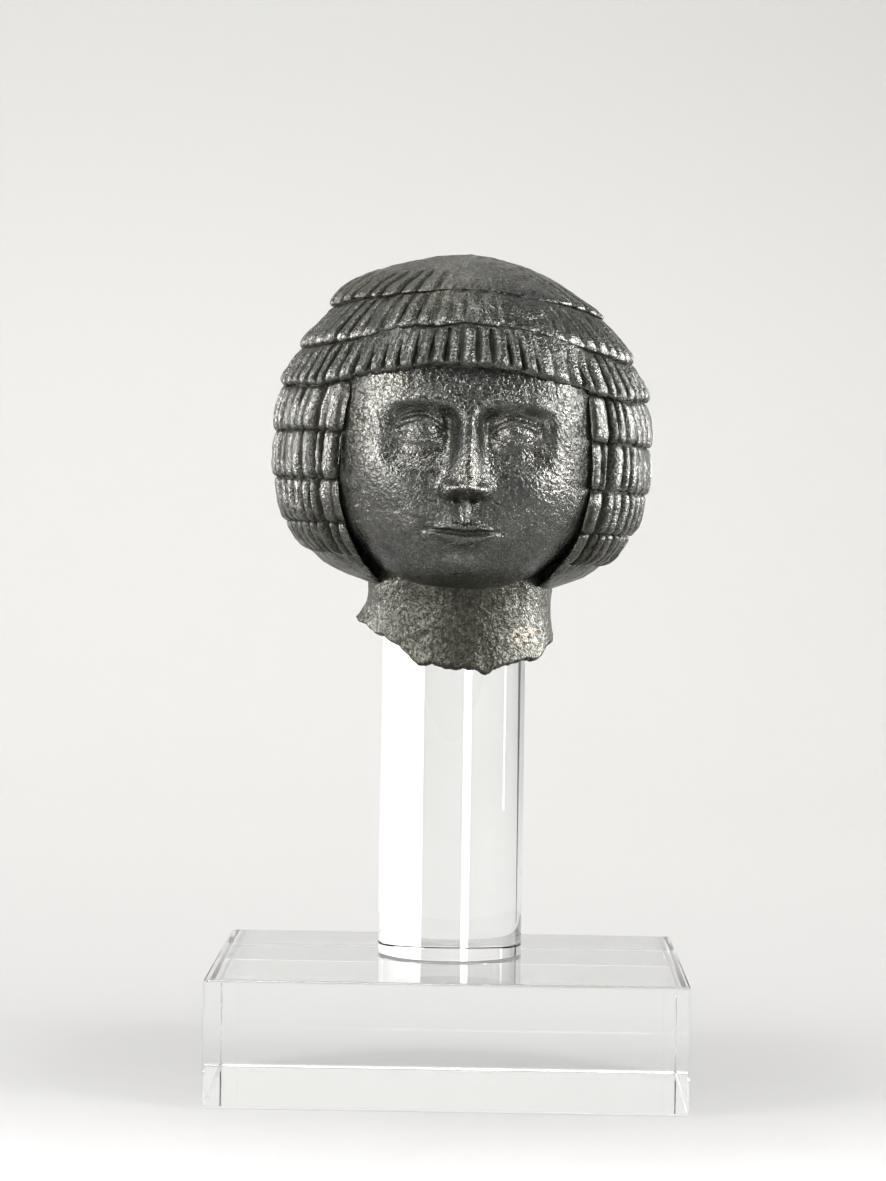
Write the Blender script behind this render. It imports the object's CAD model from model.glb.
"""The looks of the bronze head on its clear stand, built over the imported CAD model.

The head's form repeats the CAD script's sizes and functions at a finer grain, with wear, pits and the
small features of the face added. Metres, +Z up, the face looks along -Y.
"""

import math

import bmesh
import bpy
import numpy as np
from mathutils import Matrix, Vector


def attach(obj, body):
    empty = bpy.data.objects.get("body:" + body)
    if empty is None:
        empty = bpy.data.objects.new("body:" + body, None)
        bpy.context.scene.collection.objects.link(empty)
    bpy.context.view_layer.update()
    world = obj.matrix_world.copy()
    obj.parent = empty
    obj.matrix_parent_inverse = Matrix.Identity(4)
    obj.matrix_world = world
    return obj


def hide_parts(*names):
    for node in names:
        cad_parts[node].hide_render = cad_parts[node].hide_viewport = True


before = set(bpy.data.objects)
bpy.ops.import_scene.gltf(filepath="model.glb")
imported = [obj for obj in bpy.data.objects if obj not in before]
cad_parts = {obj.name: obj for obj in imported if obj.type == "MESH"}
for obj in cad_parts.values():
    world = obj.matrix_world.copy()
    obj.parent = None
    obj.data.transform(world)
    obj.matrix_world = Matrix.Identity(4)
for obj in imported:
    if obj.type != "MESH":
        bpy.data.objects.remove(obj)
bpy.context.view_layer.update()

# Sizes that repeat the CAD script's
BASE_WIDTH = 0.096
BASE_DEPTH = 0.073
BASE_HEIGHT = 0.0255
BASE_EDGE = 0.0005
COLUMN_RADIUS = 0.015
COLUMN_SET_BACK = 0.006
COLUMN_FOOT = BASE_HEIGHT + 0.0003
COLUMN_TOP = COLUMN_FOOT + 0.0817
HEAD_SHIFT = 0.0012
HEAD_LEAN = math.radians(2.0)
HEAD_TURN = math.radians(2.4)
HEAD_CENTRE = Vector((HEAD_SHIFT, COLUMN_SET_BACK, COLUMN_TOP + 0.0003 + 0.0250))
SEAT = COLUMN_TOP + 0.0003 - HEAD_CENTRE.z
BORE_RADIUS = COLUMN_RADIUS + HEAD_SHIFT + 0.0004
NECK_RADIUS = BORE_RADIUS + 0.0021

WIG_HALF_WIDTH = 0.0392
WIG_FRONT = 0.0364
WIG_BACK = 0.0384
WIG_RISE = 0.0381
WIG_DROP = 0.0318
TIER_LINES = (0.880, 0.690, 0.455, 0.241, 0.0, -0.295, -0.575, -0.770)
TIER_STEPS = (0.0009, 0.0011, 0.0010, 0.0005, 0.0005, 0.0005, 0.0007)
ARCH_LEVELS = (-0.05, 0.241, 0.455, 0.690, 0.880, 1.0)
ARCH_RISES = (0.0, 0.0048, 0.0057, 0.0035, 0.0016, 0.0)
ARCH_POWERS = (5.0, 5.0, 3.5, 2.0, 1.5, 1.5)
BRICK_BULGE = 0.00035
FRINGE_TIER = 3  # the tiers from this one down stop at the face's opening
SLOT_ANGLES = (math.radians(-51.0), math.radians(48.4))

# The wig's finer relief
LOCKS = (40, 56, 70, 70, 70, 70, 70)
WIG_COLUMNS = 560
TIER_ROWS = (
    0.0, 0.02, 0.05, 0.10, 0.17, 0.26, 0.36, 0.47, 0.58, 0.69, 0.79, 0.87, 0.92, 0.955, 0.98, 1.0,
)
CROWN_RINGS = (
    0.9985, 0.995, 0.990, 0.983, 0.975, 0.966, 0.956, 0.945, 0.933, 0.921, 0.910, 0.899, 0.890,
)
FOOT_RINGS = (
    -0.774, -0.79, -0.81, -0.835, -0.86, -0.885, -0.908, -0.93, -0.95, -0.967, -0.981, -0.991, -0.997,
)
TIER_WAVE = 0.00042
TIER_GAP = 0.00012
TIER_SLOT = 0.00050
TIER_LIP = 0.00030
LOWER_ROUNDING = 0.00040
STEP_UNEVENNESS = 0.35
LOCK_BULGE = 0.00034
LOCK_CORNER = 0.00030
GROOVE_DEPTH = 0.00125
GROOVE_HALF = 0.00050
CROWN_ROUGHNESS = 0.00018
WORN_ROUGHNESS = 0.00030
OPENING_EDGE_SINK = 0.0008
OPENING_EDGE_WIDTH = 0.0009
END_RISE = 0.00004  # how far the points that close the wig stand past its last rings

# Dents and grain of the casting
WIG_DENTS, WIG_GRAIN = 0.00018, 0.00014
FACE_DENTS, FACE_GRAIN = 0.00012, 0.00007
NECK_DENTS, NECK_GRAIN = 0.00018, 0.00010

FACE_WIDTH = 0.047
FACE_THIRD = 0.019
FACE_CENTRE_Y = -0.0020
FACE_MIDDLE = -0.0020
FACE_CHIN = 0.0003 - WIG_DROP
FACE_TOP = WIG_RISE - 0.0061
FACE_REACH = WIG_FRONT - 0.0038 + FACE_CENTRE_Y
HEAD_HALF_WIDTH = 0.0310
FACE_SIDE_POWER = 3.0
JAW_TAPER = 0.45
EYE = FACE_WIDTH / 5
EYE_LINE = FACE_CHIN + 2 * FACE_THIRD - 0.6 * EYE
NOSE_FOOT = (FACE_CHIN + FACE_THIRD - EYE_LINE) / EYE
LIP_LINE = (FACE_CHIN + 2 * FACE_THIRD / 3 - EYE_LINE) / EYE
CHIN = (FACE_CHIN - EYE_LINE) / EYE

OPENING_HALF_WIDTH = FACE_WIDTH / 2 + 0.0019
OPENING_TOP_INSET = 0.0016
OPENING_WIDEST = -0.25 * WIG_DROP
OPENING_FOOT = -1.14 * WIG_DROP
OPENING_FLOOR = 0.0090
NECK_ROOT = -0.47 * WIG_DROP
NECK_EDGE = -WIG_DROP - 0.0095
OPENING_MIDDLE = -0.004
OPENING_BUMPS = 0.00022


# Noise over points in space. Every value comes from a hash of its place, so each run gives the same.


def hashed(x, y, z, seed):
    mixed = (x * 73856093) ^ (y * 19349663) ^ (z * 83492791) ^ (seed * 961748927)
    mixed = (mixed ^ (mixed >> 13)) * 1274126177
    mixed = (mixed ^ (mixed >> 16)) & 0xFFFF
    return mixed / 32767.5 - 1.0


def noise(points, size, seed=0):
    """Smooth noise from -1 to 1 whose bumps are about this size."""
    scaled = points / size
    cell = np.floor(scaled)
    part = scaled - cell
    part = part * part * part * (part * (part * 6 - 15) + 10)
    cell = cell.astype(np.int64)
    total = np.zeros(points.shape[:-1])
    for dx in (0, 1):
        for dy in (0, 1):
            for dz in (0, 1):
                weight = (part[..., 0] if dx else 1 - part[..., 0])
                weight = weight * (part[..., 1] if dy else 1 - part[..., 1])
                weight = weight * (part[..., 2] if dz else 1 - part[..., 2])
                total += weight * hashed(cell[..., 0] + dx, cell[..., 1] + dy, cell[..., 2] + dz, seed)
    return total


def rough(points, size, octaves, seed=0):
    """Several sizes of noise together, each half as big and half as strong as the one before."""
    total = np.zeros(points.shape[:-1])
    strength = 1.0
    for octave in range(octaves):
        total += strength * noise(points, size / 2**octave, seed + 11 * octave)
        strength *= 0.5
    return total


def between(value, low, high):
    """0 below low, 1 above high, and smooth in between."""
    t = np.clip((value - low) / (high - low), 0.0, 1.0)
    return t * t * (3 - 2 * t)


def hill(u, w, middle_u, middle_w, radius_u, radius_w, power=2.0):
    """A smooth mound of height 1."""
    away = np.hypot((u - middle_u) / radius_u, (w - middle_w) / radius_w)
    return np.exp(-(away**power))


# Meshes


def grid_normals(points):
    """Outward normals of a grid that closes on itself sideways, its rows from top to bottom."""
    across = np.roll(points, -1, axis=1) - np.roll(points, 1, axis=1)
    down = np.empty_like(points)
    down[1:-1] = points[2:] - points[:-2]
    down[0] = points[1] - points[0]
    down[-1] = points[-1] - points[-2]
    normals = np.cross(down, across)
    length = np.linalg.norm(normals, axis=-1, keepdims=True)
    return normals / np.maximum(length, 1e-12)


def closed_grid(name, points, top, bottom, fields):
    """A closed mesh: rings of points from top to bottom, and a single point that closes each end."""
    rows, columns = points.shape[:2]
    vertices = np.concatenate([points.reshape(-1, 3), [top], [bottom]])
    ring = np.arange(columns)
    after = np.roll(ring, -1)
    faces = []
    for row in range(rows - 1):
        a = row * columns
        b = a + columns
        faces.append(np.stack([a + ring, b + ring, b + after, a + after], axis=1))
    quads = np.concatenate(faces)
    last = (rows - 1) * columns
    count = rows * columns
    caps = [(int(i), int(j), count) for i, j in zip(ring, after)]
    caps += [(int(last + j), int(last + i), count + 1) for i, j in zip(ring, after)]
    mesh = bpy.data.meshes.new(name)
    mesh.from_pydata(vertices.tolist(), [], quads.tolist() + caps)
    for field, values in fields.items():
        layer = mesh.attributes.new(field, "FLOAT", "POINT")
        ends = np.concatenate([values.reshape(-1), [values[0].mean()], [values[-1].mean()]])
        layer.data.foreach_set("value", ends.astype(np.float32))
    mesh.update()
    obj = bpy.data.objects.new(name, mesh)
    bpy.context.scene.collection.objects.link(obj)
    return obj


def bake_modifiers(obj):
    """Replaces the mesh with what its modifiers make of it."""
    graph = bpy.context.evaluated_depsgraph_get()
    made = bpy.data.meshes.new_from_object(obj.evaluated_get(graph), depsgraph=graph)
    obj.modifiers.clear()
    obj.data = made


def finish_piece(obj, material, slot, *nodes):
    obj.data.materials.clear()
    obj.data.materials.append(material)
    obj.data.shade_smooth()
    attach(obj, "root")
    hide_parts(*nodes)


HEAD_POSE = Matrix.Translation(HEAD_CENTRE) @ Matrix.Rotation(HEAD_TURN, 4, "Z")
HEAD_POSE = HEAD_POSE @ Matrix.Rotation(HEAD_LEAN, 4, "Y")


def place_head(points):
    """Head coordinates to the world's."""
    turn = np.array(HEAD_POSE.to_3x3())
    return points @ turn.T + np.array(HEAD_CENTRE)


# The wig


def level(share):
    return share * (WIG_RISE if share > 0 else WIG_DROP)


def dome(height):
    above = np.clip(height / WIG_RISE, 0.0, 1.0)
    below = np.clip(-height / WIG_DROP, 0.0, 1.0)
    top = (1 - above**1.93) ** (1 / 1.93)
    foot = (1 - below**2.8) ** (1 / 2.8)
    return np.where(height >= 0, top, foot)


def arched(height, angle):
    """A ring's height at this angle from the front: higher over the face, a little lower behind."""
    share = height / WIG_RISE
    rise = np.interp(share, ARCH_LEVELS, ARCH_RISES)
    facing = np.cos(angle)
    front = np.maximum(0.0, facing) ** np.interp(share, ARCH_LEVELS, ARCH_POWERS)
    back = np.maximum(0.0, -facing) ** 1.5
    return height + rise * (front - 0.3 * back)


def lump(height, angle):
    away = ((height - 0.84 * WIG_RISE) / 0.0045) ** 2
    turned = ((angle - math.radians(-88)) / math.radians(30)) ** 2
    return 0.0040 * np.exp(-away - turned)


def wear(angle, height):
    """1 where the locks are worn away: over the forehead, to its right and on the crown."""
    front = np.exp(-(((angle - 0.20) / 0.42) ** 2) - ((height - 0.0285) / 0.0095) ** 2)
    right = np.exp(-(((angle - 0.50) / 0.22) ** 2) - ((height - 0.0135) / 0.0050) ** 2)
    cap = between(height, 0.0325, 0.0365)
    return np.clip(2.6 * front + 0.65 * right + cap, 0.0, 1.0)


def lock_edges(tier):
    """The angle of each parting of a tier, from the back round to the back again."""
    count = LOCKS[tier]
    index = np.arange(count)
    jitter = hashed(index, index * 0 + tier, index * 0 + 5, 3)
    shift = (0.5 * (tier % 2) + 0.17 * tier) % 1.0
    edges = -math.pi + math.tau / count * (index + shift + 0.13 * jitter)
    deep = np.zeros(count)
    if tier >= FRINGE_TIER:
        for slot in SLOT_ANGLES:
            nearest = int(np.argmin(np.abs(edges - slot)))
            edges[nearest] = slot
            deep[nearest] = 1.0
    return edges, deep, shift


def tier_columns(tier):
    """For each column: its angle, its place across its lock, the lock's width and its parting's cut."""
    edges, deep, shift = lock_edges(tier)
    count = LOCKS[tier]
    each = WIG_COLUMNS // count
    wide = np.roll(edges, -1) - edges
    wide[-1] += math.tau
    part = np.arange(each) / each
    share = part - 0.085 * np.sin(math.tau * part)
    angle = (edges[:, None] + wide[:, None] * share[None, :]).reshape(-1)
    across = np.tile(share, count)
    index = np.arange(count)
    chance = hashed(index, index * 0 + tier, index * 0 + 9, 7)
    cut = 0.85 + 0.30 * chance
    if tier >= FRINGE_TIER:
        cut = np.where(chance < -0.20, 0.18, cut)
    cut = np.where(across < 0.5, np.repeat(cut, each), np.repeat(np.roll(cut, -1), each))
    deep = np.where(across < 0.5, np.repeat(deep, each), np.repeat(np.roll(deep, -1), each))
    start = round(shift * each)
    rows = (angle, across, np.repeat(wide, each), cut, deep)
    angle, across, width, cut, deep = (np.roll(row, start) for row in rows)
    angle[:start] -= math.tau
    return angle, across, width, cut, deep


def opening_half_width(height):
    fringe = level(TIER_LINES[FRINGE_TIER])
    up = (height - OPENING_WIDEST) / (fringe - OPENING_WIDEST)
    down = (OPENING_WIDEST - height) / (OPENING_WIDEST - OPENING_FOOT)
    upper = OPENING_HALF_WIDTH - OPENING_TOP_INSET * up**2
    lower = OPENING_HALF_WIDTH * np.sqrt(np.maximum(0.0, 1 - down**2))
    return np.where(height > OPENING_WIDEST, upper, lower)


def opening_outline(steps):
    """The opening in the front view, as (x, z): under the fringe and down to below the jaw."""
    fringe = level(TIER_LINES[FRINGE_TIER])
    x = float(opening_half_width(np.array(fringe))) * np.linspace(0, 1, steps + 1)
    top = np.stack([x, arched(np.full_like(x, fringe), np.arcsin(x / WIG_HALF_WIDTH))], axis=1)
    z = fringe + (OPENING_FOOT - fringe) * np.sin(np.linspace(0, math.pi / 2, steps + 1)[1:])
    side = np.stack([opening_half_width(z), z], axis=1)
    half = np.concatenate([top, side])
    mirrored = half[1:-1][::-1] * np.array([-1.0, 1.0])
    return np.concatenate([half, mirrored])


def distance_to_outline(x, z, outline):
    """How far each point of the front view lies from the opening's edge."""
    best = np.full(x.shape, 1.0)
    for a, b in zip(outline, np.roll(outline, -1, axis=0)):
        along = b - a
        t = ((x - a[0]) * along[0] + (z - a[1]) * along[1]) / (along @ along)
        t = np.clip(t, 0.0, 1.0)
        best = np.minimum(best, np.hypot(x - a[0] - t * along[0], z - a[1] - t * along[1]))
    return best


def groove_fade(tier, t):
    """How strongly a tier's grooves show at this share of the way down."""
    if tier == 0:
        return between(t, 0.05, 0.40) * (1 - 0.6 * between(t, 0.88, 1.0))
    if tier < FRINGE_TIER:
        return between(t, 0.02, 0.12) * (1 - 0.8 * between(t, 0.80, 0.94))
    return between(t, -0.02, 0.06) * (1 - 0.35 * between(t, 0.90, 1.0))


def groove_patches(tier, t, circle):
    """Where the grooves have stayed deeper, and where they are shallower."""
    patches = noise(circle * 9 + np.array([0.0, 0.0, 4 * t + 7 * tier]), 1.0, 15)
    if tier < FRINGE_TIER:
        return np.clip(1.15 + 0.6 * patches, 0.5, 1.4)
    return np.clip(0.95 + 0.95 * patches, 0.1, 1.35)


def circle_points(angle):
    return np.stack([np.cos(angle), np.sin(angle), angle * 0], axis=1)


def wig_ring(angle, height, proud):
    """A ring of points on the dome, standing proud of it by so much."""
    z = arched(height, angle)
    share = dome(z)
    out = proud + lump(z, angle)
    depth = np.where(np.cos(angle) > 0, WIG_FRONT, WIG_BACK)
    x = (WIG_HALF_WIDTH * share + out) * np.sin(angle)
    y = -(depth * share + out) * np.cos(angle)
    return np.stack([x, y, z], axis=1)


def tier_rings(tier, top, bottom):
    """One tier's rings from its top to its lower edge, each with how sheltered its points are."""
    angle, across, width, cut, deep = tier_columns(tier)
    circle = circle_points(angle)
    upper_wave = TIER_WAVE * rough(circle + 3.1 * tier, 0.30, 2, 21)
    lower_wave = TIER_WAVE * rough(circle + 3.1 * (tier + 1), 0.30, 2, 21)
    step = TIER_STEPS[tier] * (1 + STEP_UNEVENNESS * noise(circle * 5 + 2.7 * tier, 1.0, 23))
    half = GROOVE_HALF * (1 + 0.8 * deep)
    bulge = LOCK_BULGE * (1.4 if tier < FRINGE_TIER else 1.0)
    on_fringe = 1.0 if tier == FRINGE_TIER - 1 else 0.0
    corner = (2 * np.abs(across - 0.5)) ** 5
    ridge = 1 - (2 * np.abs(across - 0.5)) ** 3.5
    for t in TIER_ROWS:
        height = top + (bottom - top) * t + upper_wave * (1 - t) + lower_wave * t
        worn = wear(angle, height)
        height += LOCK_CORNER * corner * between(t, 0.75, 1.0) * (1 - worn)
        if t == 0.0 and tier > 0:
            height += TIER_GAP

        swell = between(t, -0.25, 0.85) - 0.5
        brick = BRICK_BULGE * (0.5 - abs(2 * t - 1) ** 5)
        if tier == 0:
            swell = max(0.0, swell)
            brick = 0.0
        lip = TIER_LIP * math.exp(-(((t - 0.80) / 0.16) ** 2)) * (tier < FRINGE_TIER)
        low_edge = LOWER_ROUNDING * max(0.0, (t - 0.90) / 0.10) ** 2 - lip
        proud = (step * swell + brick - low_edge) * (1 - 0.85 * worn)

        to_edge = np.minimum(across, 1 - across) * width * WIG_HALF_WIDTH * dome(height)
        groove = np.exp(-((to_edge / half) ** 2))
        patchy = np.maximum(groove_patches(tier, t, circle), deep)
        strength = (1 - 0.93 * worn) * groove_fade(tier, t) * patchy
        proud = proud + bulge * (ridge - 0.6) * np.minimum(1.0, strength * cut * 1.2)
        proud = proud - GROOVE_DEPTH * (cut + 0.9 * deep + 0.25 * on_fringe) * groove * strength
        slot = TIER_SLOT * (1 - between(t, 0.0, 0.065)) * (1 - 0.85 * worn) * (tier > 0)
        proud = proud - slot
        spot = circle * 0.035 + np.stack([angle * 0, angle * 0, height], axis=1)
        proud = proud + WORN_ROUGHNESS * worn * rough(spot, 0.0026, 2, 61)

        shelter = groove**0.7 * strength * (1.35 + 0.5 * on_fringe) + slot / 0.00045
        shelter = shelter + 0.5 * (1 - between(t, 0.0, 0.12)) * (tier > 0)
        shelter = shelter * (1 - 0.5 * worn) + 0.5 * between(t, 0.96, 1.0)
        yield wig_ring(angle, height, proud), np.clip(shelter, 0, 1)


def wig_surface():
    """The wig's rings of points in head coordinates, and how sheltered each point is."""
    lines = [level(share) for share in TIER_LINES]
    rings = []

    crown_angle = tier_columns(0)[0]
    for share in CROWN_RINGS:
        height = np.full(WIG_COLUMNS, share * WIG_RISE)
        spot = circle_points(crown_angle) * WIG_HALF_WIDTH * dome(height)[:, None]
        proud = CROWN_ROUGHNESS * rough(spot, 0.0026, 2, 61)
        rings.append((wig_ring(crown_angle, height, proud), np.zeros(WIG_COLUMNS)))

    for tier, (top, bottom) in enumerate(zip(lines, lines[1:])):
        rings.extend(tier_rings(tier, top, bottom))

    foot_angle = tier_columns(len(lines) - 2)[0]
    for share in FOOT_RINGS:
        height = np.full(WIG_COLUMNS, share * WIG_DROP)
        sink = -0.0007 + 0.0004 * between(-share, 0.77, 0.85)
        ring = wig_ring(foot_angle, height, np.full(WIG_COLUMNS, sink))
        rings.append((ring, np.full(WIG_COLUMNS, 0.25)))

    points = np.stack([ring[0] for ring in rings])
    shelter = np.stack([ring[1] for ring in rings])
    return points, shelter


def dress(points, shelter, coarse, fine, seed):
    """Gives a surface the unevenness of an old casting, and marks its pits as sheltered."""
    normals = grid_normals(points)
    dents = coarse * rough(points, 0.0065, 2, seed)
    grain = fine * rough(points, 0.0015, 2, seed + 40)
    pits = np.maximum(0.0, noise(points, 0.0011, seed + 70) - 0.55) * fine * 3.0
    moved = points + normals * (dents + grain - pits)[..., None]
    return moved, np.clip(shelter + pits / (fine * 2.2 + 1e-9) * 0.5, 0.0, 1.0)


def make_wig(material):
    points, shelter = wig_surface()
    outline = opening_outline(30)
    edge = distance_to_outline(points[..., 0], points[..., 2], outline)
    near = np.exp(-((edge / OPENING_EDGE_WIDTH) ** 2)) * (points[..., 1] < -0.010)
    radial = points * np.array([1.0, 1.0, 0.0])
    radial /= np.maximum(np.linalg.norm(radial, axis=-1, keepdims=True), 1e-9)
    points = points - radial * (OPENING_EDGE_SINK * near)[..., None]
    points, shelter = dress(points, shelter, WIG_DENTS, WIG_GRAIN, 1)
    crown = between(points[..., 2], 0.021, 0.030) * between(-points[..., 0], -0.012, 0.006)
    under = 0.75 * between(-points[..., 2], 0.012, 0.024)
    under = under + 0.25 * between(-points[..., 2], 0.024, 0.027)
    green = np.clip(0.85 * crown + 0.9 * under, 0.0, 1.0)
    top = points[0].mean(axis=0) + np.array([0.0, 0.0, END_RISE])
    bottom = points[-1].mean(axis=0) - np.array([0.0, 0.0, END_RISE])
    ends = place_head(np.stack([top, bottom]))
    fields = {"shelter": shelter, "green": green}
    wig = closed_grid("wig", place_head(points), ends[0], ends[1], fields)
    cutter = make_opening(outline)
    step = wig.modifiers.new("opening", "BOOLEAN")
    step.operation = "DIFFERENCE"
    step.solver = "MANIFOLD"
    step.object = cutter
    bake_modifiers(wig)
    bpy.data.objects.remove(cutter)
    finish_piece(wig, material, "dark_bronze", "head")
    return wig


def make_opening(outline):
    """The cutter: a prism that runs back from in front of the wig to the opening's floor."""
    front, back = -2 * WIG_FRONT, -OPENING_FLOOR
    outline = outline[::-1]
    count = len(outline)
    rings = []
    depths = np.linspace(front, -0.036, 3).tolist() + np.linspace(-0.035, back, 30).tolist()
    for y in depths:
        rings.append(np.stack([outline[:, 0], np.full(count, y), outline[:, 1]], axis=1))
    points = np.stack(rings)
    walls = points[3:]
    bumps = OPENING_BUMPS * rough(walls, 0.0030, 3, 90)
    centre = np.array([0.0, 0.0, OPENING_MIDDLE])
    away = (walls - centre) * np.array([1.0, 0.0, 1.0])
    away /= np.linalg.norm(away, axis=-1, keepdims=True)
    points[3:] = walls + away * bumps[..., None]
    ends = place_head(np.array([[0.0, front, OPENING_MIDDLE], [0.0, back, OPENING_MIDDLE]]))
    flat = np.zeros(points.shape[:2])
    fields = {"shelter": flat + 0.8, "green": flat + 0.3}
    return closed_grid("opening_cutter", place_head(points), ends[0], ends[1], fields)


# The face. Its features are laid out in eye widths: u out from the nose, w up from the eye line.


def socket(u, w):
    brow = 0.66 - 0.22 * (u - 1.0) ** 2
    hollow = between(brow - w, -0.08, 0.34) * between(w, -1.0, -0.05)
    hollow = hollow * between(u, 0.05, 0.45) * between(-u, -1.95, -1.35)
    corner = hill(u, w, 0.47, 0.12, 0.20, 0.32)
    ridge = np.exp(-(((w - brow) / 0.17) ** 2)) * between(u, 0.10, 0.50) * between(-u, -1.9, -1.45)
    return 0.075 * ridge - 0.26 * hollow - 0.16 * corner


def eye(u, w):
    ball = hill(u, w, 1.0, 0.03, 0.60, 0.36, 2.6)
    share = np.clip((u - 0.48) / 1.06, 0.0, 1.0)
    corners = -0.05 + 0.07 * share
    upper = corners + 0.24 * np.maximum(0.0, np.sin(math.pi * share**0.92)) ** 0.8
    lower = corners - 0.17 * np.maximum(0.0, np.sin(math.pi * share**1.1)) ** 0.8
    open_part = between(upper - w, -0.02, 0.03) * between(w - lower, -0.02, 0.03)
    open_part = open_part * between(share, 0.0, 0.05) * between(-share, -1.0, -0.95)
    lid = np.exp(-(((w - upper - 0.15) / 0.04) ** 2))
    lid = lid * between(share, 0.02, 0.2) * between(-share, -0.99, -0.8)
    return 0.25 * ball - 0.085 * open_part - 0.060 * lid


def nose(u, w):
    down = np.clip((0.30 - w) / (-NOSE_FOOT), 0.0, 1.0)
    bridge = (0.08 + 0.36 * down**1.2) * np.exp(-0.9 * (u / (0.22 + 0.08 * down)) ** 2.6)
    bridge = bridge * between(w, NOSE_FOOT - 0.02, NOSE_FOOT + 0.27) * between(-w, -0.75, -0.15)
    flank = 0.17 * down * np.exp(-((u / 0.55) ** 2)) * between(w, NOSE_FOOT, NOSE_FOOT + 0.30)
    flank = flank * between(-w, -0.5, 0.1)
    tip = 0.09 * hill(u, w, 0.0, NOSE_FOOT + 0.28, 0.24, 0.22)
    wing = 0.24 * hill(u, w, 0.37, NOSE_FOOT + 0.20, 0.17, 0.20, 2.6)
    nostril = 0.17 * hill(u, w, 0.20, NOSE_FOOT + 0.035, 0.10, 0.06)
    return bridge + flank + tip + wing - nostril


def mouth(u, w):
    mound = 0.17 * hill(u, w, 0.0, LIP_LINE, 1.05, 0.62)
    share = np.minimum(1.0, u / 0.80)
    line = LIP_LINE + 0.04 * share**2 - 0.025 * np.exp(-((u / 0.14) ** 2))
    over = w - line
    reach = between(-u, -0.82, -0.55)
    bow = 0.26 * (1 - share**1.6) - 0.05 * np.exp(-((u / 0.085) ** 2))
    upper = 0.105 * reach * between(over, -0.01, 0.09) * between(bow - over, -0.02, 0.08)
    lower = 0.13 * reach * between(-over, -0.01, 0.09)
    lower = lower * between(0.31 * (1 - share**2.2) + over, -0.02, 0.12)
    parting = 0.055 * np.exp(-((over / 0.045) ** 2)) * between(-u, -0.9, -0.78)
    groove = 0.05 * hill(u, w, 0.0, (NOSE_FOOT + LIP_LINE) / 2 + 0.08, 0.075, 0.22)
    corner = 0.05 * hill(u, w, 0.88, LIP_LINE + 0.04, 0.10, 0.12)
    crease = 0.07 * hill(u, w, 0.0, LIP_LINE - 0.47, 0.55, 0.13)
    return mound + upper + lower - parting - groove - corner - crease


def face_relief(x, z):
    u = np.abs(x) / EYE
    w = (z - EYE_LINE) / EYE
    cheek = 0.10 * hill(u, w, 1.35, NOSE_FOOT + 0.35, 0.75, 0.70)
    chin = 0.23 * hill(u, w, 0.0, CHIN + 0.45, 0.62, 0.42)
    return EYE * (socket(u, w) + eye(u, w) + nose(u, w) + mouth(u, w) + cheek + chin)


def plain_face(direction):
    """The plain head under the features, found along each direction by halving."""
    up = direction[..., 2] > 0
    half_height = np.where(up, FACE_TOP - FACE_MIDDLE, FACE_MIDDLE - FACE_CHIN)
    power = np.where(up, 2.4, 3.6)
    low = np.zeros(direction.shape[:-1])
    high = 2 * half_height
    for _ in range(28):
        reach = (low + high) / 2
        size = np.abs(direction[..., 0] * reach / HEAD_HALF_WIDTH) ** FACE_SIDE_POWER
        size += np.abs(direction[..., 1] * reach / FACE_REACH) ** FACE_SIDE_POWER
        size += np.abs(direction[..., 2] * reach / half_height) ** power
        low = np.where(size < 1, reach, low)
        high = np.where(size < 1, high, reach)
    point = direction * low[..., None]
    down = np.clip(-point[..., 2] / half_height, 0.0, 1.0)
    point[..., 0] *= 1 - JAW_TAPER * down**2.2
    return point + np.array([0.0, FACE_CENTRE_Y, FACE_MIDDLE])


def make_face(material):
    columns, rows = 340, 264
    around = np.linspace(-1, 1, columns, endpoint=False)
    upright = np.linspace(1, -1, rows + 2)[1:-1]
    turn = math.pi * (0.42 * around + 0.58 * around**3)
    lift = math.pi / 2 * (0.42 * upright + 0.58 * upright**3) - math.radians(10) * (1 - upright**2)
    lift, turn = np.meshgrid(lift, turn, indexing="ij")
    flat = np.cos(lift)
    direction = np.stack([flat * np.sin(turn), -flat * np.cos(turn), np.sin(lift)], axis=-1)
    points = plain_face(direction)
    forward = FACE_CENTRE_Y - points[..., 1]
    relief = face_relief(points[..., 0], points[..., 2]) * between(forward, 0.0, 0.8 * EYE)
    points[..., 1] -= np.where(forward > 0, relief, 0.0)
    u = np.abs(points[..., 0]) / EYE
    w = (points[..., 2] - EYE_LINE) / EYE
    shelter = 0.7 * hill(u, w, 0.47, 0.10, 0.16, 0.25)
    shelter += 0.8 * hill(u, w, 0.20, NOSE_FOOT + 0.03, 0.12, 0.08)
    shelter += 0.5 * np.exp(-(((w - LIP_LINE) / 0.05) ** 2)) * (u < 0.8)
    shelter += 0.55 * between(u, 1.95, 2.55) + 0.35 * between(w, 1.3, 1.9)
    green = between(-points[..., 2], 0.025, 0.030) + 0.35 * hill(u, w, 0.6, -0.25, 0.4, 0.25)
    points, shelter = dress(points, shelter, FACE_DENTS, FACE_GRAIN, 5)
    top = points[0].mean(axis=0)
    bottom = points[-1].mean(axis=0)
    ends = place_head(np.stack([top, bottom]))
    fields = {"shelter": np.clip(shelter, 0, 1), "green": np.clip(green, 0, 1)}
    face = closed_grid("face", place_head(points), ends[0], ends[1], fields)
    finish_piece(face, material, "dark_bronze", "head")
    return face


# The neck


def neck_edge(angle):
    edge = NECK_EDGE - 0.0030 * np.cos(angle) - 0.0020 * np.sin(angle)
    edge = edge - 0.0021 * np.cos(2 * angle)
    wave = 0.6 * np.sin(5 * angle + 0.6) + 0.7 * np.sin(9 * angle + 2.1) + 0.5 * np.sin(17 * angle)
    return edge + 0.0006 * wave


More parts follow.
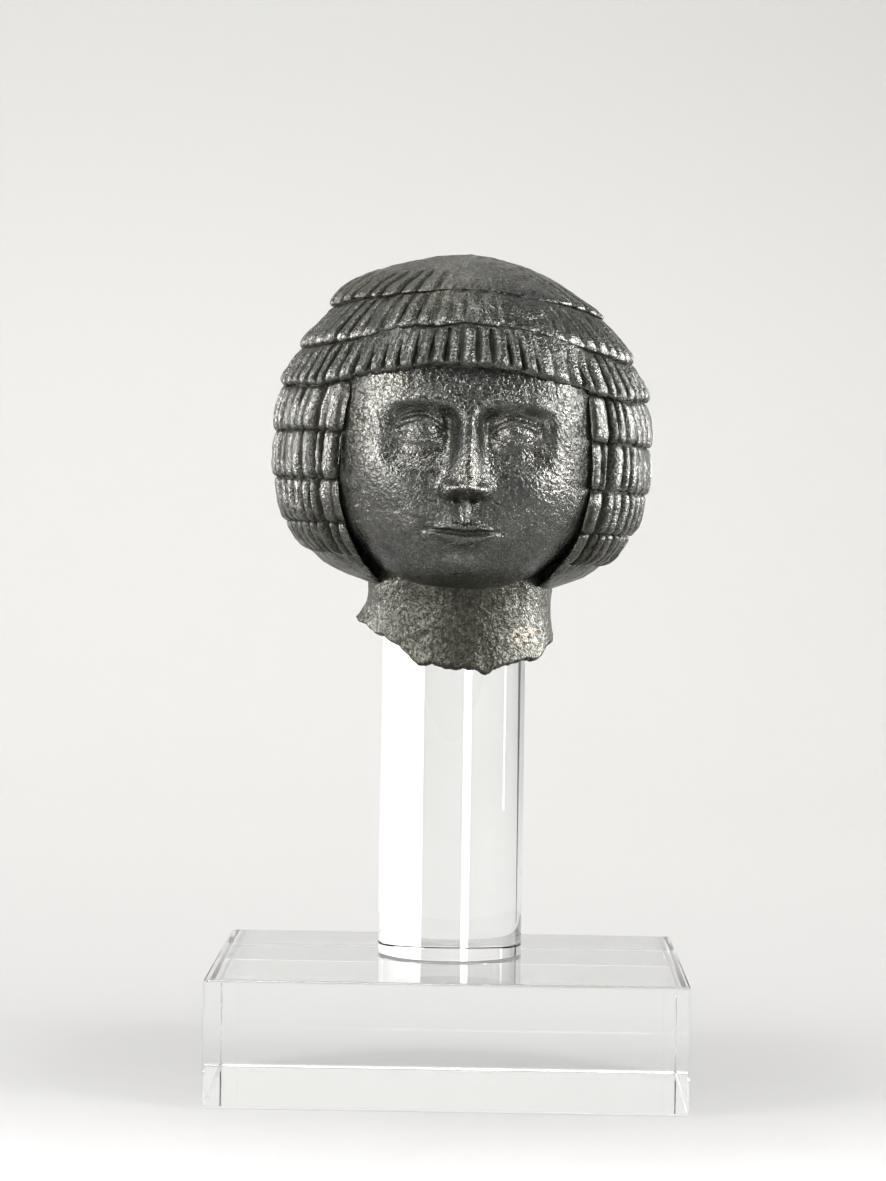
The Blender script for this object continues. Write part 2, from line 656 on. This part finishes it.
def neck_out(angle, above_edge):
    near_edge = np.exp(-above_edge / 0.0028)
    spur = 0.0022 * np.exp(-(((angle - math.radians(-84)) / math.radians(11)) ** 2))
    return NECK_RADIUS + (0.0008 + spur) * near_edge


def make_neck(material):
    """One closed shell: down the outside, round the broken edge and up the hollow to the seat."""
    columns = 420
    side_rows = 62
    edge_turns = (0.2, 0.4, 0.6, 0.8)
    angle = -math.pi + math.tau * np.arange(columns) / columns
    edge = neck_edge(angle) + 0.00045 * rough(circle_points(angle), 0.10, 3, 31)
    rings = []
    shelter = []

    def add(radius, height, dark):
        x, y = radius * np.sin(angle), -radius * np.cos(angle)
        rings.append(np.stack([x, y, height + angle * 0], axis=1))
        shelter.append(np.full(columns, dark))

    for share in np.linspace(0, 1, side_rows) ** 0.8:
        height = NECK_ROOT + (edge - NECK_ROOT) * share
        root = 0.0006 * between(height, -0.0350, -0.0270)
        add(neck_out(angle, height - edge) + root, height, 0.0)
    wall = NECK_RADIUS - BORE_RADIUS
    for turn in edge_turns:
        low = edge - 0.35 * wall * math.sin(math.pi * turn)
        outer = neck_out(angle, edge * 0.0)
        add(outer + (BORE_RADIUS + 0.0001 - outer) * turn, low, 0.55)
    for share in np.linspace(0, 1, 24):
        add(BORE_RADIUS + angle * 0, edge + (SEAT - edge) * share, 0.85)
    for radius in (0.012, 0.007, 0.003):
        add(radius + angle * 0, SEAT + angle * 0, 0.9)
    points = np.stack(rings)
    shelter = np.stack(shelter)
    count = side_rows + len(edge_turns)
    outside = points[:count]
    moved, sheltered = dress(outside, shelter[:count], NECK_DENTS, NECK_GRAIN, 8)
    hold = between(-np.arange(float(count)), -count, 6 - count)[:, None, None]
    points[:count] = outside + (moved - outside) * hold
    shelter[:count] = sheltered
    points = points + np.array(HEAD_CENTRE)
    green = 0.85 + 0.15 * between(points[..., 2] - HEAD_CENTRE.z, -0.0365, -0.0300)
    x, z = points[..., 0], points[..., 2]
    level_of_marks = HEAD_CENTRE.z - 0.0400
    crusty = hill(x, z, HEAD_CENTRE.x + 0.0135, level_of_marks, 0.0030, 0.0022)
    patch = np.where(points[..., 1] < HEAD_CENTRE.y, crusty, 0.0)
    top = points[0].mean(axis=0)
    bottom = points[-1].mean(axis=0)
    hollow = hill(x, z, HEAD_CENTRE.x, level_of_marks, 0.0060, 0.0200)
    shelter = np.clip(shelter + 0.42 + 0.30 * hollow, 0.0, 1.0)
    fields = {"shelter": shelter, "green": green, "crust": patch}
    neck = closed_grid("neck", points, top, bottom, fields)
    finish_piece(neck, material, "dark_bronze", "head")
    return neck


# The clear stand


def make_column(material):
    sides = 256
    rim = 0.0003
    angle = math.tau * np.arange(sides) / sides
    rings = []
    bevel = ((0.0, rim), (rim * 0.3, rim * 0.3), (rim, 0.0))  # along the column, and in from its side
    profile = [(COLUMN_TOP - along, COLUMN_RADIUS - inward) for along, inward in bevel]
    profile += [(COLUMN_FOOT + along, COLUMN_RADIUS - inward) for along, inward in reversed(bevel)]
    for height, radius in profile:
        x = radius * np.sin(angle)
        y = COLUMN_SET_BACK - radius * np.cos(angle)
        rings.append(np.stack([x, y, np.full(sides, height)], axis=1))
    ends = ((0.0, COLUMN_SET_BACK, COLUMN_TOP), (0.0, COLUMN_SET_BACK, COLUMN_FOOT))
    column = closed_grid("clear_column", np.stack(rings), ends[0], ends[1], {})
    finish_piece(column, material, "clear_acrylic", "column")
    column.data.set_sharp_from_angle(angle=math.radians(12))
    return column


def make_base(material):
    bm = bmesh.new()
    bmesh.ops.create_cube(bm, size=1.0)
    bmesh.ops.scale(bm, vec=(BASE_WIDTH, BASE_DEPTH, BASE_HEIGHT), verts=bm.verts)
    bmesh.ops.translate(bm, vec=(0, 0, BASE_HEIGHT / 2), verts=bm.verts)
    bmesh.ops.bevel(
        bm, geom=bm.edges[:], offset=BASE_EDGE, segments=3, profile=0.5, affect="EDGES"
    )
    mesh = bpy.data.meshes.new("clear_block")
    bm.to_mesh(mesh)
    bm.free()
    base = bpy.data.objects.new("clear_block", mesh)
    bpy.context.scene.collection.objects.link(base)
    finish_piece(base, material, "clear_acrylic", "base_block")
    for polygon in base.data.polygons:
        polygon.use_smooth = polygon.area < 1e-4  # the six sides stay flat
    return base


# Materials


class Nodes:
    """A few lines that keep the shader set-ups below short."""

    def __init__(self, name):
        self.material = bpy.data.materials.new(name)
        self.material.use_nodes = True
        self.tree = self.material.node_tree
        self.shader = self.tree.nodes["Principled BSDF"]
        self.place = self.add("ShaderNodeTexCoord").outputs["Object"]

    def add(self, kind, **settings):
        node = self.tree.nodes.new(kind)
        for key, value in settings.items():
            setattr(node, key, value)
        return node

    def link(self, source, target):
        if hasattr(source, "is_output"):
            self.tree.links.new(source, target)
        else:
            target.default_value = source

    def noise(self, size, detail=3.0, roughness=0.55):
        node = self.add("ShaderNodeTexNoise")
        self.link(self.place, node.inputs["Vector"])
        node.inputs["Scale"].default_value = 1 / size
        node.inputs["Detail"].default_value = detail
        node.inputs["Roughness"].default_value = roughness
        return node.outputs["Fac"]

    def bent_place(self, size, amount):
        """The object's coordinates, pushed about by noise so that patterns laid on them wander."""
        node = self.add("ShaderNodeTexNoise")
        self.link(self.place, node.inputs["Vector"])
        node.inputs["Scale"].default_value = 1 / size
        push = self.add("ShaderNodeVectorMath", operation="MULTIPLY_ADD")
        self.link(node.outputs["Color"], push.inputs[0])
        push.inputs[1].default_value = (amount, amount, amount)
        self.link(self.place, push.inputs[2])
        return push.outputs[0]

    def cell_walls(self, size, place):
        """How far a point is from the walls of irregular cells, as a share of their size."""
        node = self.add("ShaderNodeTexVoronoi", feature="DISTANCE_TO_EDGE")
        self.link(place, node.inputs["Vector"])
        node.inputs["Scale"].default_value = 1 / size
        return node.outputs["Distance"]

    def field(self, name):
        return self.add("ShaderNodeAttribute", attribute_name=name).outputs["Fac"]

    def math(self, operation, a, b=0.0):
        node = self.add("ShaderNodeMath", operation=operation)
        self.link(a, node.inputs[0])
        self.link(b, node.inputs[1])
        return node.outputs[0]

    def ramp(self, value, low, high, to_low=0.0, to_high=1.0):
        node = self.add("ShaderNodeMapRange", interpolation_type="SMOOTHSTEP")
        self.link(value, node.inputs["Value"])
        node.inputs["From Min"].default_value = low
        node.inputs["From Max"].default_value = high
        node.inputs["To Min"].default_value = to_low
        node.inputs["To Max"].default_value = to_high
        return node.outputs["Result"]

    def mix(self, factor, a, b):
        node = self.add("ShaderNodeMix", data_type="RGBA")
        self.link(factor, node.inputs["Factor"])
        for colour, socket_index in ((a, 6), (b, 7)):
            if isinstance(colour, tuple):
                node.inputs[socket_index].default_value = (*colour, 1.0)
            else:
                self.link(colour, node.inputs[socket_index])
        return node.outputs[2]

    def bump(self, height, distance, strength, normal=None):
        node = self.add("ShaderNodeBump")
        self.link(height, node.inputs["Height"])
        node.inputs["Distance"].default_value = distance
        node.inputs["Strength"].default_value = strength
        if normal is not None:
            self.link(normal, node.inputs["Normal"])
        return node.outputs["Normal"]


def bronze_material():
    made = Nodes("dark_bronze_patina")
    shelter = made.field("shelter")
    green = made.field("green")
    crust = made.field("crust")
    blotch = made.noise(0.009, 4.0, 0.6)
    small = made.noise(0.0010, 2.5, 0.5)
    grain = made.noise(0.00055, 2.0, 0.5)
    bent = made.bent_place(0.0014, 0.0018)
    wide_walls = made.cell_walls(0.0015, bent)
    close_walls = made.cell_walls(0.0007, bent)
    crease = made.ramp(wide_walls, 0.0, 0.09, 1.0, 0.0)
    crease = made.math("MULTIPLY", crease, made.ramp(small, 0.40, 0.55, 1.0, 0.3))
    steel = made.mix(made.ramp(blotch, 0.35, 0.65), (0.072, 0.072, 0.068), (0.130, 0.129, 0.121))
    olive = made.mix(made.ramp(small, 0.35, 0.65), (0.018, 0.019, 0.007), (0.062, 0.060, 0.026))
    greener = made.math("MULTIPLY", green, 0.80)
    greener = made.math("ADD", greener, made.ramp(blotch, 0.50, 0.75, 0.0, 0.50))
    greener = made.math("MULTIPLY", greener, made.ramp(small, 0.30, 0.60, 1.0, 0.45))
    greener = made.math("MINIMUM", greener, 1.0)
    colour = made.mix(greener, steel, olive)
    low = made.ramp(grain, 0.34, 0.50, 0.75, 0.0)
    low = made.math("MAXIMUM", low, made.math("MULTIPLY", crease, 0.75))
    dull = made.math("MINIMUM", made.math("ADD", shelter, low), 1.0)
    colour = made.mix(made.math("MULTIPLY", dull, 0.95), colour, (0.009, 0.009, 0.005))
    crusty = made.math("MULTIPLY", made.ramp(crust, 0.25, 0.75), made.ramp(small, 0.42, 0.58))
    colour = made.mix(made.math("MULTIPLY", crusty, 0.75), colour, (0.25, 0.205, 0.16))
    made.link(colour, made.shader.inputs["Base Color"])
    covered = made.math("MAXIMUM", made.math("MAXIMUM", greener, dull), crusty)
    made.link(made.ramp(covered, 0.2, 1.0, 0.95, 0.05), made.shader.inputs["Metallic"])
    roughness = made.ramp(blotch, 0.3, 0.7, 0.30, 0.21)
    roughness = made.math("ADD", roughness, made.math("MULTIPLY", covered, 0.12))
    made.link(roughness, made.shader.inputs["Roughness"])
    made.link(made.ramp(dull, 0.2, 1.0, 0.50, 0.12), made.shader.inputs["Specular IOR Level"])
    height = made.math("ADD", made.math("MULTIPLY", grain, 0.14), made.math("MULTIPLY", small, 0.40))
    height = made.math("ADD", height, made.ramp(wide_walls, 0.0, 0.20, 0.0, 0.12))
    height = made.math("ADD", height, made.ramp(close_walls, 0.0, 0.30, 0.0, 0.07))
    made.link(made.bump(height, 0.0006, 0.62), made.shader.inputs["Normal"])
    return made.material


def acrylic_material():
    made = Nodes("clear_polished_acrylic")
    shader = made.shader
    shader.inputs["Base Color"].default_value = (0.985, 0.992, 0.992, 1.0)
    shader.inputs["Metallic"].default_value = 0.0
    shader.inputs["Transmission Weight"].default_value = 1.0
    shader.inputs["IOR"].default_value = 1.49
    smears = made.noise(0.012, 3.0)
    made.link(made.ramp(smears, 0.45, 0.75, 0.0, 0.012), shader.inputs["Roughness"])
    return made.material


def stage_material(name, colour):
    """Matt paper, a little darker higher up."""
    made = Nodes(name)
    axes = made.add("ShaderNodeSeparateXYZ")
    made.link(made.place, axes.inputs[0])
    darker = tuple(0.93 * part for part in colour)
    graded = made.mix(made.ramp(axes.outputs[2], 0.14, 0.42), colour, darker)
    made.link(graded, made.shader.inputs["Base Color"])
    made.shader.inputs["Roughness"].default_value = 0.75
    made.shader.inputs["Specular IOR Level"].default_value = 0.2
    return made.material


# The stage, lights and camera


def make_stage():
    """A pale floor that curves up into the backdrop."""
    bm = bmesh.new()
    half = 1.6
    front = -0.9
    bend = 0.55
    radius = 0.60
    height = 1.9
    gap = 0.0001
    steps = 48
    profile = [(front, 0.0), (bend, 0.0)]
    for step in range(1, steps + 1):
        turn = math.pi / 2 * step / steps
        profile.append((bend + radius * math.sin(turn), radius * (1 - math.cos(turn))))
    profile.append((bend + radius, height))
    rows = [[bm.verts.new((x, y, z - gap)) for x in (-half, half)] for y, z in profile]
    for low, high in zip(rows, rows[1:]):
        bm.faces.new((low[0], low[1], high[1], high[0]))
    mesh = bpy.data.meshes.new("backdrop")
    bm.to_mesh(mesh)
    bm.free()
    mesh.shade_smooth()
    backdrop = bpy.data.objects.new("backdrop", mesh)
    bpy.context.scene.collection.objects.link(backdrop)
    mesh.materials.append(stage_material("pale_paper", (0.42, 0.417, 0.410)))
    return backdrop


WARM = (1.0, 0.99, 0.97)
HEAD_MIDDLE = (0.0, 0.0, 0.12)

# Each light's place, the point it faces, its width and height, its power in watts and its colour
LIGHTS = {
    "left_box": ((-0.54, -0.50, 0.40), HEAD_MIDDLE, (0.34, 0.60), 10.0, WARM),
    "right_box": ((0.63, -0.34, 0.38), HEAD_MIDDLE, (0.30, 0.60), 12.5),
    "left_rim": ((-0.60, 0.16, 0.24), HEAD_MIDDLE, (0.20, 0.50), 7.0, WARM),
    "right_rim": ((0.60, 0.18, 0.24), HEAD_MIDDLE, (0.20, 0.50), 10.5),
    "low_fill": ((-0.26, -0.60, 0.03), HEAD_MIDDLE, (0.60, 0.16), 2.6),
    "column_panel": ((0.075, 0.073, 0.065), (-0.757, -0.486, 0.065), (0.161, 0.13), 0.072),
    "column_streak": ((-0.0105, 0.10, 0.062), (-0.0105, 0.0, 0.062), (0.005, 0.096), 0.0019),
    "thin_streak": ((-0.0812, 0.144, 0.08), (0.0, 0.006, 0.08), (0.004, 0.080), 0.0008),
    "top_box": ((-0.14, -0.30, 0.88), (-0.04, -0.12, 0.0), (0.40, 0.25), 4.6),
    "crown_strip": ((-0.12, 0.22, 0.70), (0.0, 0.0, 0.16), (0.50, 0.14), 0.8),
    "backdrop_wash": ((-0.30, 0.42, 0.80), (-0.25, 1.15, 0.28), (1.6, 0.3), 9.2, WARM),
    "room_ceiling": ((0.0, 0.1, 1.8), (0.0, 0.1, 0.0), (3.0, 3.0), 78.0),
    "floor_wash": ((0.0, -0.125, 0.45), (0.0, -0.125, 0.0), (0.9, 0.06), 0.32),
    "floor_left": ((-0.45, -0.26, 0.26), (0.0, 0.04, 0.0), (0.16, 0.24), 1.65),
    "floor_right": ((0.45, -0.26, 0.26), (0.0, 0.04, 0.0), (0.16, 0.24), 1.65),
}
BRONZE_LIGHTS = ("left_rim", "right_rim", "low_fill")
COLUMN_LIGHTS = ("column_panel", "column_streak", "thin_streak")
PAPER_LIGHTS = ("room_ceiling", "floor_wash", "floor_left", "floor_right")
LIGHTS_THAT_THE_BLOCK_SHADES = (*BRONZE_LIGHTS, "floor_left", "floor_right")
FLOOR_WASH_SPREAD = math.radians(34)


def soft_light(name, place, aim, size, power, colour=(1.0, 1.0, 1.0)):
    light = bpy.data.lights.new(name, "AREA")
    light.shape = "RECTANGLE"
    light.size = size[0]
    light.size_y = size[1]
    light.energy = power
    light.color = colour
    obj = bpy.data.objects.new(name, light)
    bpy.context.scene.collection.objects.link(obj)
    obj.location = place
    obj.rotation_euler = (Vector(aim) - Vector(place)).to_track_quat("-Z", "Y").to_euler()
    return obj


def seen_through_only(obj):
    """Leaves an object out of every view but the one through the clear parts."""
    obj.visible_camera = False
    obj.visible_diffuse = False
    obj.visible_glossy = False
    obj.visible_shadow = False


def linked_group(name, state, objects):
    group = bpy.data.collections.new(name)
    for obj in objects:
        group.objects.link(obj)
    for entry in group.collection_objects:
        entry.light_linking.link_state = state
    return group


def choose_receivers(light, state, objects):
    """Lights these objects alone (INCLUDE), or everything but them (EXCLUDE)."""
    group = linked_group(light.name + "_receivers", state, objects)
    light.light_linking.receiver_collection = group


def pass_through(light, *objects):
    """Lets these objects cast no shadow in this light."""
    group = linked_group(light.name + "_blockers", "EXCLUDE", objects)
    light.light_linking.blocker_collection = group


def make_flag():
    """A dark board beyond the picture's left side, which darkens the column's right edge."""
    bm = bmesh.new()
    low = ((-0.1290, 0.0998, 0.010), (-0.1262, 0.1033, 0.010))
    high = ((-0.116, 0.116, 0.13), (-0.1334, 0.0943, 0.13))
    bm.faces.new([bm.verts.new(corner) for corner in low + high])
    mesh = bpy.data.meshes.new("dark_board")
    bm.to_mesh(mesh)
    bm.free()
    board = bpy.data.objects.new("dark_board", mesh)
    bpy.context.scene.collection.objects.link(board)
    mesh.materials.append(stage_material("dark_paper", (0.03, 0.03, 0.035)))
    seen_through_only(board)


def make_lights(bronze_parts, column, base, backdrop):
    lights = {name: soft_light(name, *row) for name, row in LIGHTS.items()}
    lights["floor_wash"].data.spread = FLOOR_WASH_SPREAD
    for name in COLUMN_LIGHTS:
        seen_through_only(lights[name])
    for names, state, receivers in (
        (("left_box", "right_box"), "EXCLUDE", (column, base, backdrop)),
        (BRONZE_LIGHTS, "INCLUDE", bronze_parts),
        (COLUMN_LIGHTS, "INCLUDE", (column,)),
        (("top_box",), "EXCLUDE", (backdrop,)),
        (PAPER_LIGHTS, "INCLUDE", (backdrop,)),
    ):
        for name in names:
            choose_receivers(lights[name], state, receivers)
    for name, light in lights.items():
        if name not in LIGHTS_THAT_THE_BLOCK_SHADES:
            pass_through(light, base)


def make_world():
    """Plain pale air, which only the camera and the clear parts see."""
    world = bpy.data.worlds.new("studio_air")
    bpy.context.scene.world = world
    world.use_nodes = True
    background = world.node_tree.nodes["Background"]
    background.inputs["Color"].default_value = (0.93, 0.93, 0.92, 1.0)
    background.inputs["Strength"].default_value = 0.65
    world.cycles_visibility.diffuse = False
    world.cycles_visibility.glossy = False


CAMERA_PLACE = Vector((0.0061, -0.6876 + COLUMN_SET_BACK, 0.1246))
CAMERA_YAW = math.radians(0.71)
CAMERA_PITCH = math.radians(-1.94)
CAMERA_ROLL = math.radians(0.83)
FOCAL_PIXELS = 3300.0
PHOTO_HEIGHT = 1181


def make_camera():
    """Set up so that the stand's corners fall where the photograph shows them."""
    data = bpy.data.cameras.new("camera")
    data.sensor_fit = "VERTICAL"
    data.sensor_height = 36.0
    data.lens = 36.0 * FOCAL_PIXELS / PHOTO_HEIGHT
    data.clip_start = 0.01
    forward = Vector((
        -math.sin(CAMERA_YAW) * math.cos(CAMERA_PITCH),
        math.cos(CAMERA_YAW) * math.cos(CAMERA_PITCH),
        math.sin(CAMERA_PITCH),
    ))
    right = Vector((math.cos(CAMERA_YAW), math.sin(CAMERA_YAW), 0.0))
    up = right.cross(forward)
    rolled_right = right * math.cos(CAMERA_ROLL) + up * math.sin(CAMERA_ROLL)
    rolled_up = up * math.cos(CAMERA_ROLL) - right * math.sin(CAMERA_ROLL)
    turn = Matrix((rolled_right, rolled_up, -forward)).transposed()
    camera = bpy.data.objects.new("camera", data)
    bpy.context.scene.collection.objects.link(camera)
    camera.matrix_world = Matrix.Translation(CAMERA_PLACE) @ turn.to_4x4()
    bpy.context.scene.camera = camera


bronze = bronze_material()
acrylic = acrylic_material()
bronze_parts = (make_wig(bronze), make_face(bronze), make_neck(bronze))
clear_column = make_column(acrylic)
clear_block = make_base(acrylic)
for clear_part in (clear_column, clear_block):
    clear_part.visible_diffuse = False
clear_column.visible_shadow = False
paper = make_stage()
make_flag()
make_lights(bronze_parts, clear_column, clear_block, paper)
make_world()
make_camera()
bpy.context.scene.view_settings.view_transform = "Standard"

bpy.context.view_layer.update()
